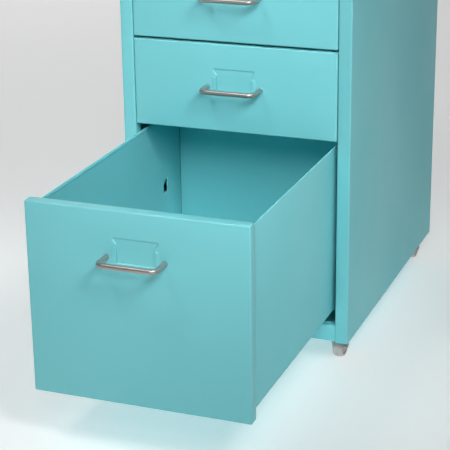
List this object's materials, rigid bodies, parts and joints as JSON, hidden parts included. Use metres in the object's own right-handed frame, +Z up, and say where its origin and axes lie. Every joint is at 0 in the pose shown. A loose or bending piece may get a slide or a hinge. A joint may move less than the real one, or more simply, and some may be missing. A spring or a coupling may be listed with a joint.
{
  "type": "metal filing cabinet",
  "caption": "Narrow folded-steel drawer cabinet on swivel casters, with rod handles and pressed label holders; a deep bottom drawer stands open.",
  "frame": {"origin": "on the floor, under the middle of the outer box with the bottom drawer open as it stands", "axes": "+Z up, +Y towards the back, +X to the right as seen from the front"},
  "size_m": [0.28, 0.723, 0.719],
  "materials": {
    "powder_teal": "semi-gloss powder coat, fine orange peel",
    "satin_nickel": "satin nickel plate",
    "zinc_plate": "bright zinc plate, slightly dull",
    "grey_plastic": "moulded grey polyamide"
  },
  "bodies": {
    "cabinet": {"side_panel_left": "powder_teal", "side_panel_right": "powder_teal", "top_panel": "powder_teal", "bottom_panel": "powder_teal", "base_rail": "powder_teal", "back_panel": "powder_teal", "runner_left_1": "powder_teal", "runner_right_1": "powder_teal", "runner_left_2": "powder_teal", "runner_right_2": "powder_teal", "runner_left_3": "powder_teal", "runner_right_3": "powder_teal", "runner_left_4": "powder_teal", "runner_right_4": "powder_teal", "runner_left_5": "powder_teal", "runner_right_5": "powder_teal", "caster_plate_front_left": "zinc_plate", "caster_plate_front_right": "zinc_plate", "caster_plate_rear_left": "zinc_plate", "caster_plate_rear_right": "zinc_plate"},
    "drawer_1": {"drawer_1_front": "powder_teal", "drawer_1_tray": "powder_teal", "drawer_1_back": "powder_teal", "drawer_1_handle": "satin_nickel"},
    "drawer_2": {"drawer_2_front": "powder_teal", "drawer_2_tray": "powder_teal", "drawer_2_back": "powder_teal", "drawer_2_handle": "satin_nickel"},
    "drawer_3": {"drawer_3_front": "powder_teal", "drawer_3_tray": "powder_teal", "drawer_3_back": "powder_teal", "drawer_3_handle": "satin_nickel"},
    "drawer_4": {"drawer_4_front": "powder_teal", "drawer_4_tray": "powder_teal", "drawer_4_back": "powder_teal", "drawer_4_handle": "satin_nickel"},
    "drawer_5": {"drawer_5_front": "powder_teal", "drawer_5_tray": "powder_teal", "drawer_5_back": "powder_teal", "drawer_5_handle": "satin_nickel"},
    "caster_front_left_fork": {"caster_fork_front_left": "zinc_plate", "caster_axle_front_left": "zinc_plate"},
    "caster_front_left_wheel": {"caster_wheel_front_left": "grey_plastic"},
    "caster_front_right_fork": {"caster_fork_front_right": "zinc_plate", "caster_axle_front_right": "zinc_plate"},
    "caster_front_right_wheel": {"caster_wheel_front_right": "grey_plastic"},
    "caster_rear_left_fork": {"caster_fork_rear_left": "zinc_plate", "caster_axle_rear_left": "zinc_plate"},
    "caster_rear_left_wheel": {"caster_wheel_rear_left": "grey_plastic"},
    "caster_rear_right_fork": {"caster_fork_rear_right": "zinc_plate", "caster_axle_rear_right": "zinc_plate"},
    "caster_rear_right_wheel": {"caster_wheel_rear_right": "grey_plastic"}
  },
  "joints": [
    {"name": "drawer_1_slide", "type": "slide", "parent": "cabinet", "child": "drawer_1", "axis": [0, -1, 0], "range_m": [0, 0.33]},
    {"name": "drawer_2_slide", "type": "slide", "parent": "cabinet", "child": "drawer_2", "axis": [0, -1, 0], "range_m": [0, 0.33]},
    {"name": "drawer_3_slide", "type": "slide", "parent": "cabinet", "child": "drawer_3", "axis": [0, -1, 0], "range_m": [0, 0.33]},
    {"name": "drawer_4_slide", "type": "slide", "parent": "cabinet", "child": "drawer_4", "axis": [0, -1, 0], "range_m": [0, 0.33]},
    {"name": "drawer_5_slide", "type": "slide", "parent": "cabinet", "child": "drawer_5", "axis": [0, -1, 0], "range_m": [-0.285, 0.045]},
    {"name": "caster_front_left_swivel", "type": "hinge", "parent": "cabinet", "child": "caster_front_left_fork", "pos_m": [-0.1205, -0.0185, 0.035], "axis": [0, 0, 1], "continuous": true},
    {"name": "caster_front_left_spin", "type": "hinge", "parent": "caster_front_left_fork", "child": "caster_front_left_wheel", "pos_m": [-0.1205, -0.0115, 0.0155], "axis": [1, 0, 0], "continuous": true},
    {"name": "caster_front_right_swivel", "type": "hinge", "parent": "cabinet", "child": "caster_front_right_fork", "pos_m": [0.1205, -0.0185, 0.035], "axis": [0, 0, 1], "continuous": true},
    {"name": "caster_front_right_spin", "type": "hinge", "parent": "caster_front_right_fork", "child": "caster_front_right_wheel", "pos_m": [0.1205, -0.0115, 0.0155], "axis": [1, 0, 0], "continuous": true},
    {"name": "caster_rear_left_swivel", "type": "hinge", "parent": "cabinet", "child": "caster_rear_left_fork", "pos_m": [-0.1205, 0.3315, 0.035], "axis": [0, 0, 1], "continuous": true},
    {"name": "caster_rear_left_spin", "type": "hinge", "parent": "caster_rear_left_fork", "child": "caster_rear_left_wheel", "pos_m": [-0.1205, 0.3385, 0.0155], "axis": [1, 0, 0], "continuous": true},
    {"name": "caster_rear_right_swivel", "type": "hinge", "parent": "cabinet", "child": "caster_rear_right_fork", "pos_m": [0.1205, 0.3315, 0.035], "axis": [0, 0, 1], "continuous": true},
    {"name": "caster_rear_right_spin", "type": "hinge", "parent": "caster_rear_right_fork", "child": "caster_rear_right_wheel", "pos_m": [0.1205, 0.3385, 0.0155], "axis": [1, 0, 0], "continuous": true}
  ]
}
